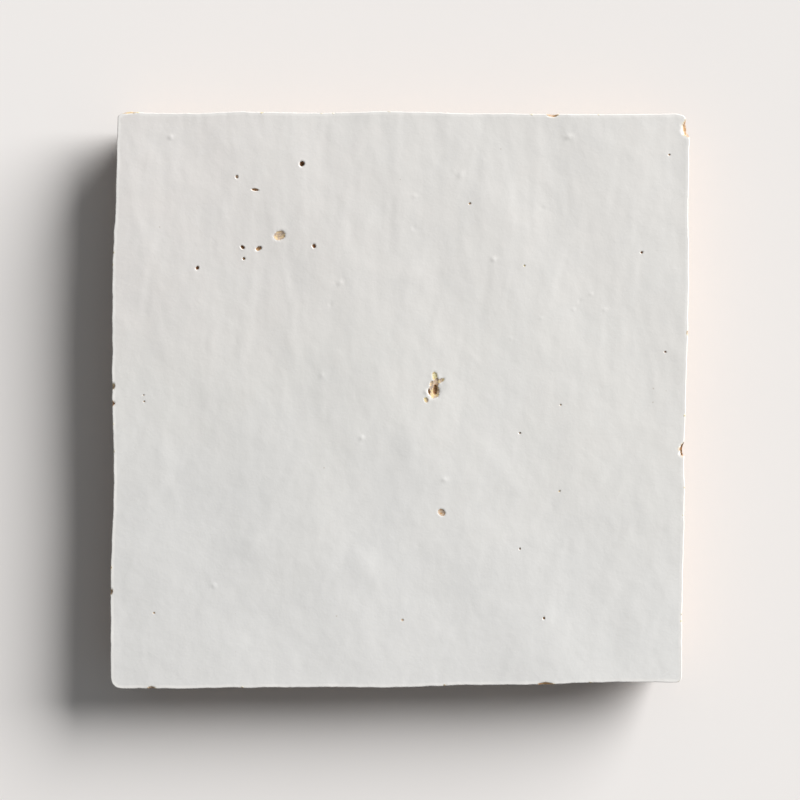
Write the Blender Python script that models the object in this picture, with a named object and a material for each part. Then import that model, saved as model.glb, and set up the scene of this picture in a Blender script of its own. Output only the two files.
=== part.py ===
"""A hand-cut zellige tile: one square slab of fired clay with a white glazed face.

Metres, +Z up. The tile lies on its bed with the glazed face up. The origin is on the
bed, under the middle of the tile's outline. Front is -Y and right is +X.
"""

import math
import random
from collections import namedtuple

import bmesh
import bpy
from mathutils import Matrix, Vector
from mathutils.geometry import delaunay_2d_cdt

# The slab
FACE_WIDTH = 0.0995
FACE_DEPTH = 0.0996
THICKNESS = 0.0112

# The glazed face: crowned, with a short ripple over a long swell
CROWN = 0.0004
RIPPLE_HEIGHT = 0.00009
RIPPLE_LENGTH = 0.026
RIPPLE_HEADING = math.radians(28)
SWELL_HEIGHT = 0.00021
SWELL_LENGTH = 0.064
SWELL_HEADING = math.radians(-35)

# Rises that the clay kept from being beaten flat by hand. A place on the face is a share
# of the way from its middle to its right and back edges.
Rise = namedtuple("Rise", "x y width depth height")
RISES = (
    Rise(-0.12, 0.77, 0.0045, 0.0110, 0.00009),
    Rise(0.40, 0.62, 0.0040, 0.0090, 0.00008),
    Rise(0.04, 0.44, 0.0042, 0.0038, 0.00007),
    Rise(-0.33, 0.18, 0.0044, 0.0046, 0.00006),
    Rise(-0.17, -0.11, 0.0040, 0.0034, 0.00006),
    Rise(-0.86, -0.23, 0.0036, 0.0080, 0.00007),
    Rise(-0.51, -0.50, 0.0048, 0.0042, 0.00008),
    Rise(-0.12, -0.59, 0.0046, 0.0036, 0.00007),
)

# The side, from the rolled glaze down an upright skirt and a leaning belly to the bed, whose
# edge is broken off. The belly's rise is a share of the way from that edge up to the skirt.
GLAZE_ROLL = 0.0004
SKIRT_HEIGHT = 0.0019
SKIRT_LEAN = 0.0002
BELLY_RISE = 0.5
BELLY_LEAN = 0.0011
BED_LEAN = 0.0022
BED_BREAK_WIDTH = 0.0006
BED_BREAK_HEIGHT = 0.0007

# The hammer's blows, which leave one shallow flute each down the sides, some wider than
# others. A flute is deepest at the belly, and has these shares of its depth above and below it.
BLOWS_A_SIDE = 14
STEPS_A_BLOW = 3
NARROWEST_BLOW = 0.45
FLUTE_DEPTH = 0.0005
SHALLOWEST_FLUTE = 0.25
SKIRT_FLUTE = 0.35
BED_FLUTE = 0.7
FLUTE_SEED = 11

# How finely the faces are divided
CORNER_STEPS = 3
ROLL_STEPS = 3
FACE_CELLS = 40
BED_CELLS = 8
SCOOP_SEGMENTS = 10
SCOOP_RINGS = 6
SHARP_ANGLE = math.radians(35)

# Each corner's place is its nominal one plus a shift. They run anticlockwise from front left.
Corner = namedtuple("Corner", "x_sign y_sign x_shift y_shift radius")
CORNERS = (
    Corner(-1, -1, -0.0005, -0.0006, 0.0020),
    Corner(1, -1, -0.0006, 0.0005, 0.0009),
    Corner(1, 1, 0.0008, -0.0001, 0.0026),
    Corner(-1, 1, 0.0007, 0.0001, 0.0004),
)

# How each hand-cut side strays from straight: a share of its length, and how far out it lies
# there. They start with the front side and run anticlockwise.
SIDE_BOWS = (
    (
        (0.13, 0.00012), (0.34, 0.00014), (0.50, 0.00033),
        (0.62, 0.00006), (0.74, 0.00013), (0.88, -0.00016),
    ),
    (
        (0.12, -0.00012), (0.32, 0.00002), (0.40, -0.00018),
        (0.50, 0.00002), (0.67, 0.00024), (0.85, -0.00005),
    ),
    (
        (0.17, -0.00014), (0.37, -0.00005), (0.53, 0.00029),
        (0.66, 0.0), (0.78, 0.00022), (0.88, -0.00013),
    ),
    (
        (0.13, 0.00017), (0.28, 0.00062), (0.45, 0.00045),
        (0.65, -0.00006), (0.80, 0.00027), (0.93, 0.00012),
    ),
)

# Pinholes and hollows, where gas from the clay broke through the glaze
Pit = namedtuple("Pit", "name x y length width depth turn")
PITS = (
    Pit("hollow_front", 0.145, -0.393, 0.0014, 0.0011, 0.0003, 140),
    Pit("hollow_back", -0.421, 0.574, 0.0021, 0.0017, 0.0006, 20),
    Pit("pinhole_deep", -0.343, 0.824, 0.0009, 0.0009, 0.0012, 0),
    Pit("pinhole_long", -0.507, 0.734, 0.0014, 0.0006, 0.0005, 172),
    Pit("pinhole_tan", -0.571, 0.779, 0.0007, 0.0007, 0.0004, 0),
    Pit("pinhole_dark", -0.551, 0.533, 0.0009, 0.0007, 0.0008, 145),
    Pit("pinhole_grey", -0.547, 0.493, 0.0007, 0.0007, 0.0004, 0),
    Pit("pinhole_rust", -0.494, 0.529, 0.0011, 0.0008, 0.0006, 25),
    Pit("pinhole_red", -0.301, 0.537, 0.0008, 0.0008, 0.0007, 0),
    Pit("pinhole_left", -0.710, 0.461, 0.0010, 0.0008, 0.0007, 60),
)

# The one large crater, and its lobes in metres from its middle
CRATER_X = 0.117
CRATER_Y = 0.029
Lobe = namedtuple("Lobe", "name x y length width depth turn")
CRATER_LOBES = (
    Lobe("crater_bowl", 0.0001, 0.0001, 0.0025, 0.0021, 0.0005, 88),
    Lobe("crater_slot", 0.0003, 0.0003, 0.0020, 0.0009, 0.0011, 86),
    Lobe("crater_lip", -0.0012, -0.0008, 0.0015, 0.0009, 0.0004, 120),
    Lobe("crater_link", 0.0004, 0.0016, 0.0017, 0.0010, 0.0004, 82),
    Lobe("crater_tongue", 0.0002, 0.0027, 0.0017, 0.0009, 0.0003, 96),
    Lobe("crater_ear", 0.0013, 0.0019, 0.0016, 0.0008, 0.0003, 28),
)

# Flakes knocked off the face's edge. A flake's side is its index in SIDE_BOWS.
Flake = namedtuple("Flake", "name side share length bite drop")
FLAKES = (
    Flake("flake_front_left", 0, 0.07, 0.0013, 0.0003, 0.0006),
    Flake("flake_front_right", 0, 0.757, 0.0024, 0.0003, 0.0008),
    Flake("flake_right_low", 1, 0.415, 0.0022, 0.0005, 0.0014),
    Flake("flake_right_high", 1, 0.968, 0.0030, 0.0008, 0.0016),
    Flake("flake_back", 2, 0.24, 0.0017, 0.0003, 0.0007),
    Flake("flake_left_high", 3, 0.476, 0.0011, 0.0003, 0.0006),
    Flake("flake_left_middle", 3, 0.505, 0.0008, 0.0003, 0.0006),
    Flake("flake_left_low", 3, 0.832, 0.0009, 0.0003, 0.0006),
)

GLAZE_COLOUR = (0.71, 0.70, 0.67, 1.0)
GLAZE_ROUGHNESS = 0.25
CLAY_COLOUR = (0.50, 0.29, 0.16, 1.0)
CLAY_ROUGHNESS = 0.9


def clear_scene():
    for obj in list(bpy.data.objects):
        bpy.data.objects.remove(obj)


def plain_material(name, colour, roughness):
    material = bpy.data.materials.new(name)
    material.use_nodes = True
    shader = material.node_tree.nodes["Principled BSDF"]
    shader.inputs["Base Color"].default_value = colour
    shader.inputs["Roughness"].default_value = roughness
    shader.inputs["Metallic"].default_value = 0.0
    return material


def eased(bows, share):
    """How far out a side lies at this share of its length. It is on the line at both ends."""
    knots = ((0.0, 0.0), *bows, (1.0, 0.0))
    for (start, low), (end, high) in zip(knots, knots[1:]):
        if share <= end:
            ease = (1 - math.cos(math.pi * (share - start) / (end - start))) / 2
            return low + (high - low) * ease
    return 0.0


def corner_point(corner):
    return Vector((
        corner.x_sign * FACE_WIDTH / 2 + corner.x_shift,
        corner.y_sign * FACE_DEPTH / 2 + corner.y_shift,
    ))


def side_line(side):
    """The two corners that a side runs between."""
    return corner_point(CORNERS[side]), corner_point(CORNERS[(side + 1) % len(CORNERS)])


def side_point(side, share):
    start, end = side_line(side)
    along = (end - start).normalized()
    outwards = Vector((along.y, -along.x))
    return start.lerp(end, share) + outwards * eased(SIDE_BOWS[side], share)


def side_run(side):
    """The shares at which a side leaves the round of one corner and meets that of the next."""
    start, end = side_line(side)
    length = (end - start).length
    return CORNERS[side].radius / length, 1 - CORNERS[(side + 1) % len(CORNERS)].radius / length


def round_corner(before, corner, after):
    """The points strictly between the two ends of a corner's round."""
    points = []
    for step in range(1, CORNER_STEPS):
        t = step / CORNER_STEPS
        points.append(before.lerp(corner, t).lerp(corner.lerp(after, t), t))
    return points


def blow_ridges(dice):
    """The shares of a side's length at which the ridges between its blows stand."""
    widths = [dice.uniform(NARROWEST_BLOW, 1.0) for _ in range(BLOWS_A_SIDE)]
    return [sum(widths[:count]) / sum(widths) for count in range(BLOWS_A_SIDE + 1)]


def outline():
    """The face's outline, anticlockwise, with the flute's depth at each point.

    It comes centred on the origin, with how far its middle lay from there before.
    """
    dice = random.Random(FLUTE_SEED)
    points, flutes = [], []
    for side in range(len(CORNERS)):
        first, last = side_run(side)
        ridges = blow_ridges(dice)
        for start, end in zip(ridges, ridges[1:]):
            depth = FLUTE_DEPTH * dice.uniform(SHALLOWEST_FLUTE, 1.0)
            for step in range(STEPS_A_BLOW):
                share = start + (end - start) * step / STEPS_A_BLOW
                points.append(side_point(side, first + (last - first) * share))
                flutes.append(depth if step else 0.0)
        points.append(side_point(side, last))
        flutes.append(0.0)
        beyond = (side + 1) % len(CORNERS)
        after = side_point(beyond, side_run(beyond)[0])
        rounded = round_corner(points[-1], corner_point(CORNERS[beyond]), after)
        points.extend(rounded)
        flutes.extend([0.0] * len(rounded))
    low = Vector((min(p.x for p in points), min(p.y for p in points)))
    high = Vector((max(p.x for p in points), max(p.y for p in points)))
    middle = (low + high) / 2
    return [p - middle for p in points], flutes, middle


def face_point(x_share, y_share):
    return Vector((x_share * FACE_WIDTH / 2, y_share * FACE_DEPTH / 2))


def trough(point, height, length, heading):
    """How far a wave that runs in this heading lies under its crests."""
    run = point.x * math.cos(heading) + point.y * math.sin(heading)
    return height * (1 - math.cos(2 * math.pi * run / length)) / 2


def face_height(point):
    across, along = 2 * point.x / FACE_WIDTH, 2 * point.y / FACE_DEPTH
    height = THICKNESS - CROWN * (across**2 + along**2) / 2
    height -= trough(point, RIPPLE_HEIGHT, RIPPLE_LENGTH, RIPPLE_HEADING)
    height -= trough(point, SWELL_HEIGHT, SWELL_LENGTH, SWELL_HEADING)
    for rise in RISES:
        away = point - face_point(rise.x, rise.y)
        height += rise.height * math.exp(-((away.x / rise.width) ** 2) - (away.y / rise.depth) ** 2)
    return height


def drawn_in(point, distance):
    """The point moved towards the middle, so that the outline shrinks by this distance."""
    return Vector((
        point.x * (1 - 2 * distance / FACE_WIDTH),
        point.y * (1 - 2 * distance / FACE_DEPTH),
    ))


def roll_rings(points):
    """Rings of the rolled glaze, from the face out and down to the outline."""
    rings = []
    for step in range(ROLL_STEPS + 1):
        angle = math.pi / 2 * step / ROLL_STEPS
        inwards = GLAZE_ROLL * (1 - math.sin(angle))
        drop = GLAZE_ROLL * (1 - math.cos(angle))
        ring = []
        for point in points:
            place = drawn_in(point, inwards)
            ring.append(Vector((place.x, place.y, face_height(place) - drop)))
        rings.append(ring)
    return rings


def side_ring(points, flutes, lean, flute_share, rise):
    """A ring down the side. Its rise is 0 at the bed's broken edge and 1 under the glaze."""
    ring = []
    for point, flute in zip(points, flutes):
        place = drawn_in(point, lean + flute * flute_share)
        skirt_foot = face_height(point) - GLAZE_ROLL - SKIRT_HEIGHT
        height = BED_BREAK_HEIGHT + (skirt_foot - BED_BREAK_HEIGHT) * rise
        ring.append(Vector((place.x, place.y, height)))
    return ring


def side_rings(points, flutes):
    """Rings down the hammered side, from under the glaze to the edge of the bed."""
    bed = [drawn_in(p, BED_LEAN + BED_BREAK_WIDTH + flute) for p, flute in zip(points, flutes)]
    return [
        side_ring(points, flutes, SKIRT_LEAN, SKIRT_FLUTE, 1.0),
        side_ring(points, flutes, BELLY_LEAN, 1.0, BELLY_RISE),
        side_ring(points, flutes, BED_LEAN, BED_FLUTE, 0.0),
        [Vector((p.x, p.y, 0.0)) for p in bed],
    ]


def grid_inside(ring, cells):
    """The inner points of a grid of this many cells each way, as wide as the ring."""
    low_x, high_x = min(p.x for p in ring), max(p.x for p in ring)
    low_y, high_y = min(p.y for p in ring), max(p.y for p in ring)
    step_x, step_y = (high_x - low_x) / cells, (high_y - low_y) / cells
    return [
        Vector((low_x + step_x * column, low_y + step_y * row))
        for row in range(1, cells)
        for column in range(1, cells)
    ]


def fill_ring(mesh, ring, cells, height, faces_up, material_index):
    """Closes a ring of vertices with triangles over a grid of inner points."""
    flat = [vertex.co.to_2d() for vertex in ring]
    count = len(flat)
    edges = [(i, (i + 1) % count) for i in range(count)]
    inside_only = 1
    merge_distance = 1e-9
    places, _, triangles, sources, _, _ = delaunay_2d_cdt(
        flat + grid_inside(flat, cells), edges, [], inside_only, merge_distance
    )
    vertices = {}
    for index in sorted({i for triangle in triangles for i in triangle}):
        place, source = places[index], sources[index][0]
        is_new = source >= count
        vertices[index] = mesh.verts.new((*place, height(place))) if is_new else ring[source]
    for triangle in triangles:
        corners = [vertices[i] for i in triangle]
        turned = (corners[1].co - corners[0].co).cross(corners[2].co - corners[0].co).z
        if (turned > 0) != faces_up:
            corners.reverse()
        mesh.faces.new(corners).material_index = material_index


def slab_mesh(points, flutes):
    """The whole slab as one closed skin: glaze is material 0 and clay is material 1."""
    mesh = bmesh.new()
    glaze = roll_rings(points)
    clay = side_rings(points, flutes)
    rings = [[mesh.verts.new(p) for p in ring] for ring in glaze + clay]
    count = len(points)
    for level, (upper, lower) in enumerate(zip(rings, rings[1:])):
        is_clay = level >= len(glaze) - 1
        for i in range(count):
            j = (i + 1) % count
            mesh.faces.new((upper[i], lower[i], lower[j], upper[j])).material_index = int(is_clay)
    fill_ring(mesh, rings[0], FACE_CELLS, face_height, True, 0)
    fill_ring(mesh, rings[-1], BED_CELLS, lambda place: 0.0, False, 1)
    bmesh.ops.recalc_face_normals(mesh, faces=mesh.faces)
    return mesh


def add_object(name, mesh, materials):
    data = bpy.data.meshes.new(name)
    mesh.to_mesh(data)
    mesh.free()
    for material in materials:
        data.materials.append(material)
    return bpy.data.objects.new(name, data)


def add_scoop(collection, name, size, turn, place, material):
    """An ellipsoid that cuts a hollow. It is never part of the tile itself."""
    mesh = bmesh.new()
    bmesh.ops.create_uvsphere(mesh, u_segments=SCOOP_SEGMENTS, v_segments=SCOOP_RINGS, radius=1.0)
    shape = Matrix.Translation(place) @ Matrix.Rotation(turn, 4, "Z") @ Matrix.Diagonal((*size, 1.0))
    bmesh.ops.transform(mesh, matrix=shape, verts=mesh.verts)
    scoop = add_object(name, mesh, [material])
    scoop.hide_render = True
    scoop.display_type = "WIRE"
    collection.objects.link(scoop)


def add_hollow(collection, hollow, place, material):
    """Sinks a pit or a lobe into the face at this place."""
    centre = Vector((place.x, place.y, face_height(place)))
    size = (hollow.length / 2, hollow.width / 2, hollow.depth)
    add_scoop(collection, hollow.name, size, math.radians(hollow.turn), centre, material)


def add_pits(collection, material):
    for pit in PITS:
        add_hollow(collection, pit, face_point(pit.x, pit.y), material)
    middle = face_point(CRATER_X, CRATER_Y)
    for lobe in CRATER_LOBES:
        add_hollow(collection, lobe, middle + Vector((lobe.x, lobe.y)), material)


def add_flakes(collection, middle, material):
    for flake in FLAKES:
        start, end = side_line(flake.side)
        along = end - start
        place = side_point(flake.side, flake.share) - middle
        centre = Vector((place.x, place.y, face_height(place)))
        size = (flake.length / 2, flake.bite, flake.drop)
        add_scoop(collection, flake.name, size, math.atan2(along.y, along.x), centre, material)


def cut_away(tile, scoops):
    cut = tile.modifiers.new("pits_and_flakes", "BOOLEAN")
    cut.operation = "DIFFERENCE"
    cut.operand_type = "COLLECTION"
    cut.collection = scoops
    cut.solver = "EXACT"
    cut.material_mode = "TRANSFER"


def build():
    clear_scene()
    scene = bpy.context.scene
    glaze = plain_material("white_glaze", GLAZE_COLOUR, GLAZE_ROUGHNESS)
    clay = plain_material("fired_clay", CLAY_COLOUR, CLAY_ROUGHNESS)
    points, flutes, middle = outline()
    tile = add_object("zellige_tile", slab_mesh(points, flutes), [glaze, clay])
    tile.data.shade_smooth()
    tile.data.set_sharp_from_angle(angle=SHARP_ANGLE)
    scene.collection.objects.link(tile)
    scoops = bpy.data.collections.new("scoops")
    scene.collection.children.link(scoops)
    add_pits(scoops, clay)
    add_flakes(scoops, middle, clay)
    cut_away(tile, scoops)


build()
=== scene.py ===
"""The finish of a hand-cut zellige tile: white glaze over fired clay, on a pale studio floor.

Metres, +Z up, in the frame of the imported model. The glazed face is up, front is -Y and right is +X.
"""

import functools
import math
from collections import namedtuple

import bpy
import numpy as np
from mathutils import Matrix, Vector
from mathutils.bvhtree import BVHTree
from mathutils.geometry import delaunay_2d_cdt
from mathutils.kdtree import KDTree


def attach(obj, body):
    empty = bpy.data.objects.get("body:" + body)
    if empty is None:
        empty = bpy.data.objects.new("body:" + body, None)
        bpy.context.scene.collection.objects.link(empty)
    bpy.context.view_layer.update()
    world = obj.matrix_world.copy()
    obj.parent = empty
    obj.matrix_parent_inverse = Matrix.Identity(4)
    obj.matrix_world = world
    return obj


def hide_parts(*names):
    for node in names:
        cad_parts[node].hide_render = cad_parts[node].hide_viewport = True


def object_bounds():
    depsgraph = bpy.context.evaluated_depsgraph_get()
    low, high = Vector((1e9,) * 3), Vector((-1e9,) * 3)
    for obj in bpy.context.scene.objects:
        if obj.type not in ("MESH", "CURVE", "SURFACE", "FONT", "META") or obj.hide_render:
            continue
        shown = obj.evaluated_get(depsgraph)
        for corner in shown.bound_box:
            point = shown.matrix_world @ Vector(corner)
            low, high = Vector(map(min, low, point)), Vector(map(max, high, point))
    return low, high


bl_info = {
    "name": "Zellige Tile",
    "version": (1, 0, 0),
    "blender": (4, 5, 0),
    "location": "View3D > Sidebar > Zellige",
    "description": "Dresses a hand-cut tile in white glaze over fired clay",
    "category": "Object",
}

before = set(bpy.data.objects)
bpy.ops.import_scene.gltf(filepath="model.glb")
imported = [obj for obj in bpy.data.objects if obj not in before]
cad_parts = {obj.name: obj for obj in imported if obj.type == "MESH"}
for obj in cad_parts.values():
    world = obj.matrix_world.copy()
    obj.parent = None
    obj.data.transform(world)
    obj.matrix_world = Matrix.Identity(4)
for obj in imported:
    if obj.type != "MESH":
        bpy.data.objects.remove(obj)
CAD_LOW, CAD_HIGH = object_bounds()
NODE = "zellige_tile"
BODY = "root"
MM = 0.001
TOP = CAD_HIGH.z
HALF = max(CAD_HIGH.x, CAD_HIGH.y)
VECTOR = "FLOAT_VECTOR"

# The stations round the edge, from which the solid's sides are read
GUIDE_MARGIN = 1.5 * MM
CORNER_REACH = 6.0 * MM
SIDE_CELLS = 308
CORNER_CELLS = 36
RAY_REACH = 20 * MM

# The depths below the top at which the skirt is read, how much neighbours ease its outline and in
# how many rounds, and how far it keeps inside the solid's box
SKIRT_DROPS = (0.95 * MM, 1.1 * MM, 1.25 * MM, 1.4 * MM, 1.55 * MM)
CORNER_CALM = 0.12
SIDE_CALM = 0.5
SKIRT_ROUNDS = 10
BOX_MARGIN = 0.02 * MM

# What a hand's cut adds to the outline, in millimetres, and what strays in the glaze line: waves
# round the tile, a seed and a height or share. Corners take less of it.
CUT_WAVERS = ((420, 11, 0.045), (120, 12, 0.070))
LINE_WAVERS = ((26, 21, 0.6), (110, 22, 0.4))
CORNER_WAVER = 0.4

# How far round a flake the outline isn't read, how squarely the outline faces its stations at the
# least, and how much further than straight in it is then drawn at the most
FLAKE_MARGIN = 0.8 * MM
LEAST_FACING = 0.65
SLANT_REACH = 0.3 * MM

# The coat's edge: its roll over the arris, its skirt, which tucks in below, how thin the coat is
# at the arris, where 1 is as thin as at the glaze line, and its hidden back
ROLL_RADIUS = 0.18 * MM
ROLL_RINGS = 5
RIM_WIDTH = 0.50 * MM
RIM_RINGS = 3
SKIRT_RINGS = 4
SKIRT_TUCK = 0.05 * MM
ARRIS_THIN = 0.6
LIP_DEPTH = 0.60 * MM
CORE_INSET = 1.6 * MM
CORE_DEPTH = 2.3 * MM
CORE_GAP = 0.015 * MM

# The clay under it: how far it reaches up behind the lip, its gap there, and how far down the side
# the lip's step fades
CLAY_RISE = 0.2 * MM
CLAY_GAP = 0.1 * MM
LIP_FADE = 2.0 * MM

# The levels at which the clay's side is read, how often each is eased, how far it keeps inside the
# solid, how broken its two ends are, and how much of the bed's roughness its lowest ring takes
SIDE_LEVELS = 34
LOWEST_LEVEL = 0.12 * MM
HIGHEST_LEVEL = TOP - 1.0 * MM
SIDE_ROUNDS = 2
SIDE_INSET = 0.02 * MM
RIM_BREAK = 0.5
BED_EDGE = 0.4

# The spacing of the face's points, the finer spacing round pits, how many times a pit's width each
# of the two finer ones covers, how far the points keep from the rim, and the spacing elsewhere
FACE_STEP = 0.52 * MM
NEAR_STEP = 0.22 * MM
PIT_STEP = 0.09 * MM
NEAR_WIDTH = 1.7
PIT_WIDTH = 1.15
RIM_CLEAR = 0.36 * MM
BACK_STEP = 5.0 * MM
BED_STEP = 1.2 * MM
SIDE_RINGS = 30

# The grid of the solid's heights: its step, its margin, how low the face can lie between pits,
# and the rounds in which the pits are filled and all of it is eased
HEIGHT_STEP = 1.25 * MM
HEIGHT_MARGIN = 1.6 * MM
DEEPEST_RIPPLE = 0.9 * MM
MEND_ROUNDS = 60
EASE_ROUNDS = 2

# Pits, hollows and pinholes: a place on the face, a size, a turn and a tone, in millimetres and
# degrees. A tone runs from 0, cream, over tan and rust to 1, black. One below 0, as where none is
# given, is glazed over. A depth below 0 is a blister.
Pit = namedtuple("Pit", "x y length width depth turn tone", defaults=(0, -1.0))
PITS = [Pit(*row) for row in (
    (5.92, 1.50, 2.5, 2.1, 0.32, 88, 0.28),
    (6.08, 1.70, 1.9, 0.84, 0.66, 86, 0.60),
    (5.04, 1.40, 1.0, 0.44, 0.60, 98, 0.46),
    (4.50, 1.36, 0.9, 0.70, -0.07, 110),
    (6.02, 4.10, 1.7, 0.94, 0.16, 96, 0.19),
    (7.06, 3.36, 1.35, 0.70, 0.16, 28, 0.27),
    (6.26, 3.05, 1.7, 1.04, 0.26, 82, 0.36),
    (5.56, 2.82, 1.1, 0.80, 0.20, 60, 0.27),
    (4.50, 0.02, 1.0, 0.76, 0.13, 120, 0.24),
    (6.95, 1.85, 2.1, 2.4, 0.08),
    (7.22, -19.52, 1.4, 1.15, 0.20, 140, 0.41),
    (-20.95, 28.60, 2.1, 1.7, 0.25, 20, 0.32),
    (-39.90, 45.72, 0.9, 0.8, -0.085, 30),
    (-17.06, 41.05, 0.95, 0.95, 0.62, 0, 0.80),
    (-25.20, 36.55, 1.3, 0.45, 0.40, 172, 0.52),
    (-28.40, 38.80, 0.6, 0.5, 0.36, 90, 0.40),
    (-27.40, 26.55, 0.78, 0.58, 0.50, 145, 0.64),
    (-27.20, 24.55, 0.52, 0.48, 0.28, 0, 0.48),
    (-24.60, 26.35, 1.15, 0.74, 0.36, 25, 0.50),
    (-14.96, 26.75, 0.74, 0.68, 0.42, 90, 0.58),
    (-35.30, 22.95, 0.70, 0.58, 0.44, 60, 0.60),
    (12.10, 34.15, 0.46, 0.38, 0.20, 20, 0.44),
    (10.50, 39.15, 1.7, 1.2, -0.062, 60),
    (42.00, 25.65, 0.45, 0.4, 0.30, 0, 0.76),
    (46.10, 8.35, 0.40, 0.34, 0.24, 0, 0.60),
    (27.90, -0.85, 0.36, 0.30, 0.18, 0, 0.50),
    (20.80, -5.75, 0.36, 0.32, 0.24, 0, 0.56),
    (20.80, -25.85, 0.40, 0.30, 0.24, 90, 0.66),
    (25.00, -37.95, 0.48, 0.40, 0.28, 90, 0.48),
    (27.70, -15.85, 0.40, 0.30, 0.16, 30, 0.38),
    (-44.60, 0.85, 0.32, 0.24, 0.16, 0, 0.52),
    (-44.50, -0.25, 0.34, 0.26, 0.16, 0, 0.56),
    (-6.70, -6.60, 0.9, 0.8, -0.060, 45),
    (7.65, -13.85, 1.0, 0.8, -0.058),
    (0.40, -38.25, 0.50, 0.40, 0.12, 0, 0.38),
    (2.50, 35.45, 1.0, 0.8, -0.034),
    (2.40, 30.00, 0.9, 0.8, 0.030),
    (16.20, 24.45, 0.9, 0.8, -0.065),
    (29.30, 45.75, 1.3, 0.9, -0.078, 20),
    (46.80, 42.65, 0.40, 0.32, 0.22, 0, 0.56),
    (-32.45, -32.2, 0.9, 0.8, -0.052),
    (-42.80, -37.00, 0.42, 0.34, 0.12, 0, 0.38),
    (21.60, 23.35, 0.36, 0.32, 0.16, 0, 0.20),
    (-10.40, 20.35, 1.0, 0.8, -0.060, 40),
    (-12.10, 16.70, 1.0, 0.7, 0.030, 80),
    (-13.60, 4.30, 0.9, 0.8, -0.038),
    (33.20, 18.40, 0.7, 0.6, -0.036),
    (31.20, 17.20, 0.7, 0.5, 0.028, 60),
    (30.10, 15.70, 0.6, 0.5, -0.030),
    (35.50, 15.70, 0.8, 0.6, -0.038, 60),
    (24.50, 14.20, 0.7, 0.6, -0.028),
    (19.30, 10.70, 0.7, 0.6, -0.028),
    (24.70, 33.30, 0.8, 0.7, 0.026),
)]

# Rises and troughs that the tool left under the glaze: a place, a size, a height and a turn.
Swell = namedtuple("Swell", "x y length width height turn")
SWELLS = [Swell(*row) for row in (
    (0.0, 38.0, 19.0, 4.2, 0.066, 88),
    (-30.0, 45.5, 5.0, 7.0, 0.047, 10),
    (-46.5, 37.0, 7.0, 2.6, 0.035, 95),
    (-13.2, 40.0, 10.0, 2.4, -0.035, 92),
    (14.8, 31.5, 12.0, 3.0, 0.039, 92),
    (2.3, 21.8, 4.2, 3.4, 0.058, 30),
    (-19.0, 9.6, 9.0, 3.2, 0.047, 95),
    (-8.2, -6.9, 5.0, 3.6, 0.051, 80),
    (1.6, -7.0, 7.0, 3.2, 0.047, 85),
    (-25.4, -25.6, 5.4, 4.6, 0.070, 130),
    (-5.9, -29.4, 5.4, 4.2, 0.066, 115),
    (-13.8, 1.6, 3.6, 2.6, 0.031, 90),
    (-27.4, -13.1, 3.6, 3.0, 0.031, 90),
    (-40.9, -10.6, 7.0, 3.4, 0.039, 95),
    (17.5, -12.0, 12.0, 3.4, 0.043, 132),
    (34.0, -13.0, 6.0, 3.2, 0.031, 120),
    (36.0, 3.0, 6.0, 3.0, 0.031, 100),
    (36.0, 17.5, 10.0, 8.0, 0.039, 90),
    (24.0, -24.0, 6.0, 4.0, 0.035, 110),
    (42.0, -38.0, 12.0, 6.0, 0.047, 85),
    (-5.8, -41.0, 8.0, 3.2, 0.035, 95),
    (5.8, 1.4, 7.0, 6.0, 0.039, 90),
)]

# Flakes knocked off the edge: a place on the outline, then a size along it, in from it and down.
Flake = namedtuple("Flake", "x y length bite drop tone")
FLAKES = [Flake(*row) for row in (
    (-43.2, -50.4, 1.2, 0.24, 0.5, 0.40),
    (25.3, -49.8, 2.4, 0.20, 0.5, 0.55),
    # This flake's very dark tone is painted shade in its notch
    (49.6, -8.7, 2.2, 0.45, 1.4, 0.80),
    (50.4, 47.2, 3.0, 0.75, 1.6, 0.46),
    (26.6, 49.8, 1.6, 0.30, 0.7, 0.46),
    (-50.3, 2.3, 1.0, 0.28, 0.6, 0.36),
    (-50.3, -0.6, 0.6, 0.25, 0.5, 0.62),
    (-50.4, -33.4, 0.8, 0.20, 0.5, 0.50),
    (-46.9, 49.9, 2.4, 0.14, 0.4, 0.32),
)]

# Fine chips along the whole edge
CHIP_COUNT = 26
CHIP_SEED = 5
CHIP_LENGTHS = (0.3, 0.9)
CHIP_BITES = (0.06, 0.14)
CHIP_TONES = (-0.1, 0.46)

# How much of a cut the coat survives, at a pit in the face and at a flake off the edge
PIT_VEIL = 0.14
EDGE_VEIL = 0.02

# How deep in the edge a flake's middle lies, how much a cut's outline wobbles, and how deep a cut
# is from its middle outwards, where 1 is its stated edge
EDGE_SINK = 0.12 * MM
WOBBLE = 0.42
WIDEST_CUT = 1.5
CUT_PROFILE = ((0.45, 0.90), (0.75, 0.66), (0.92, 0.34), (1.02, 0.12), (1.18, 0.03))

# The share of a cut's depth from which its tone shows and at which it is full, how many times the
# veil a cut has to be to bare the clay, how fast a soft mark falls off, and the lip round a cut:
# its place, where 1 is the stated edge, its sharpness and its height as a share of the veil
TONED_CUT = (0.02, 0.10)
BARED_CUT = 3.0
SOFT_FALL = 1.1
CUT_LIP = 1.45
LIP_SHARPNESS = 3.2
LIP_SHARE = 0.2

# How far the relief sinks the face, so that its crests stay in the solid, and the bed's pores
RELIEF_DROP = 0.08 * MM
PORE_DEPTH = 0.22 * MM

# The floor's half width, and how far off the key light stands
FLOOR_REACH = 6.0
KEY_DISTANCE = 0.8


# Sizes and colours that a user may change


def colour(name, description, default):
    """A colour that a user may change."""
    return bpy.props.FloatVectorProperty(name=name, description=description, default=default, subtype="COLOR")


def number(name, description, default, **kind):
    """A number that a user may change, of a given kind."""
    return bpy.props.FloatProperty(name=name, description=description, default=default, **kind)


LENGTH = {"subtype": "DISTANCE", "unit": "LENGTH"}
ANGLE = {"subtype": "ANGLE", "unit": "ROTATION"}
CAMERA = {"subtype": "DISTANCE_CAMERA", "unit": "CAMERA"}
SHARE = {"subtype": "FACTOR", "max": 1.0}


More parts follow.
